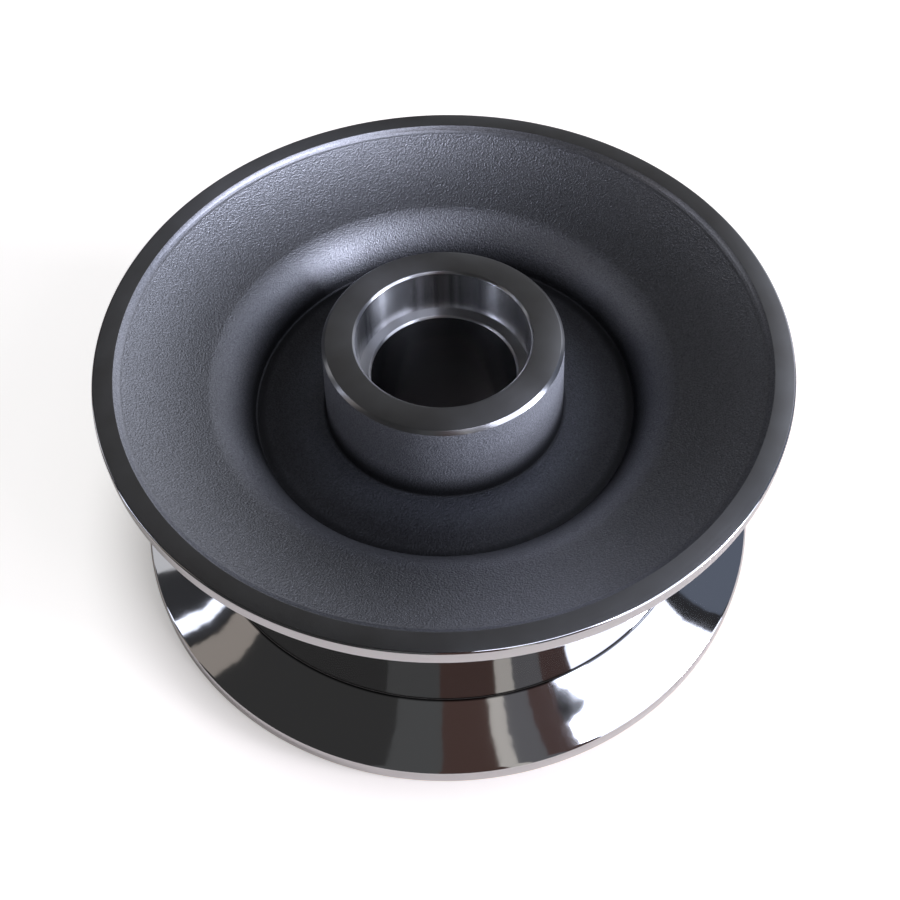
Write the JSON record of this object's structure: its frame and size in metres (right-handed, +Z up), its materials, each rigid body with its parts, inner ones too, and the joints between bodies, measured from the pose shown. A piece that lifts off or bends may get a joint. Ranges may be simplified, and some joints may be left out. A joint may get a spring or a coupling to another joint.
{
  "type": "flanged belt pulley",
  "caption": "Cast iron belt pulley with a wide polished groove between flared rims, dished sides, a web and a hub bored with a bearing seat.",
  "frame": {"origin": "on the axis, in the plane of the lower rim face that it stands on", "axes": "+Z up along the axis, towards the end with the bearing seat"},
  "size_m": [0.1574, 0.1574, 0.0658],
  "materials": {
    "iron": "shot-blasted casting, turned rim and hub faces, polished groove"
  },
  "bodies": {
    "root": {"pulley": "iron"}
  },
  "joints": []
}
